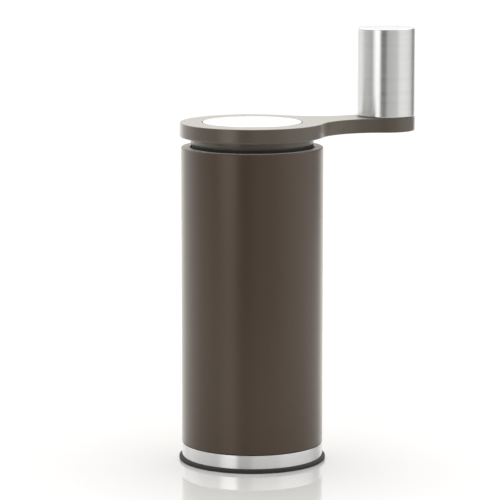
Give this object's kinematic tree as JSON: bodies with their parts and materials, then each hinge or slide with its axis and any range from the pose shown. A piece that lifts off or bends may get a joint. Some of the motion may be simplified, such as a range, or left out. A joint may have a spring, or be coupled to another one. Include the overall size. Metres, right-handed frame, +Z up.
{
  "type": "hand coffee grinder",
  "caption": "Slim hand coffee grinder: coated tube, keyhole crank plate with flush steel disc, brushed cylinder knob, conical burrs, pull-off cup",
  "frame": {"origin": "centre of the foot pad underside, on the tube axis", "axes": "+Z up along the tube, +X along the crank arm to the knob at rest"},
  "size_m": [0.1022, 0.0602, 0.1765],
  "materials": {
    "body_coat": "satin",
    "brushed_steel": "brushed",
    "inlay_steel": "satin",
    "shaft_steel": "turned",
    "burr_steel": "ground",
    "zinc_steel": "plated",
    "spring_steel": "drawn",
    "bearing_bronze": "sintered",
    "nut_brass": "turned",
    "cast_alloy": "bead blasted",
    "cup_alloy": "dark anodised",
    "black_plastic": "moulded",
    "liner_plastic": "moulded",
    "foot_plastic": "moulded",
    "pad_rubber": "matte",
    "seal_rubber": "matte"
  },
  "bodies": {
    "body": {"outer_tube": "body_coat", "hopper_liner": "liner_plastic", "upper_spider": "cast_alloy", "upper_bush": "bearing_bronze", "burr_carrier": "cast_alloy", "lower_bush": "bearing_bronze", "outer_burr": "burr_steel", "burr_clamp_ring": "cast_alloy", "clamp_screws": "zinc_steel", "retaining_ring": "spring_steel"},
    "drive_shaft": {"drive_shaft": "shaft_steel", "shaft_circlip": "spring_steel", "thrust_washer": "zinc_steel", "burr_spring": "spring_steel"},
    "inner_burr": {"inner_burr": "burr_steel", "click_disc": "zinc_steel"},
    "adjuster": {"adjuster_dial": "black_plastic", "adjuster_nut": "nut_brass", "detent_balls": "zinc_steel"},
    "crank": {"crank_arm": "body_coat", "crank_inlay": "inlay_steel", "hub_socket": "shaft_steel", "hub_magnet": "zinc_steel", "lid_plug": "black_plastic", "lid_screws": "zinc_steel", "knob_spindle": "shaft_steel", "spindle_screw": "zinc_steel", "spindle_washer": "black_plastic", "spindle_clip": "spring_steel"},
    "knob": {"knob_shell": "brushed_steel", "knob_core": "black_plastic", "knob_bushes": "bearing_bronze"},
    "cup": {"grounds_cup": "cup_alloy", "base_band": "brushed_steel", "base_foot": "foot_plastic", "foot_pad": "pad_rubber", "cup_seal": "seal_rubber", "foot_screws": "zinc_steel"}
  },
  "joints": [
    {"name": "crank_turn", "type": "hinge", "parent": "body", "child": "drive_shaft", "pos_m": [0, 0, 0.1], "axis": [0, 0, 1], "continuous": true},
    {"name": "crank_lift", "type": "slide", "parent": "drive_shaft", "child": "crank", "axis": [0, 0, 1], "range_m": [0, 0.06]},
    {"name": "knob_turn", "type": "hinge", "parent": "crank", "child": "knob", "pos_m": [0.06, 0, 0.15], "axis": [0, 0, 1], "continuous": true},
    {"name": "burr_shift", "type": "slide", "parent": "drive_shaft", "child": "inner_burr", "axis": [0, 0, 1], "range_m": [-0.0008, 0.0008], "deforming": ["burr_spring"]},
    {"name": "dial_turn", "type": "hinge", "parent": "inner_burr", "child": "adjuster", "pos_m": [0, 0, 0.065], "axis": [0, 0, 1], "range_deg": [-360, 360]},
    {"name": "cup_pull", "type": "slide", "parent": "body", "child": "cup", "axis": [0, 0, -1], "range_m": [0, 0.062]}
  ],
  "couplings": [
    {"joint": "burr_shift", "follows": "dial_turn", "m_per_rad": 0.00012732}
  ]
}
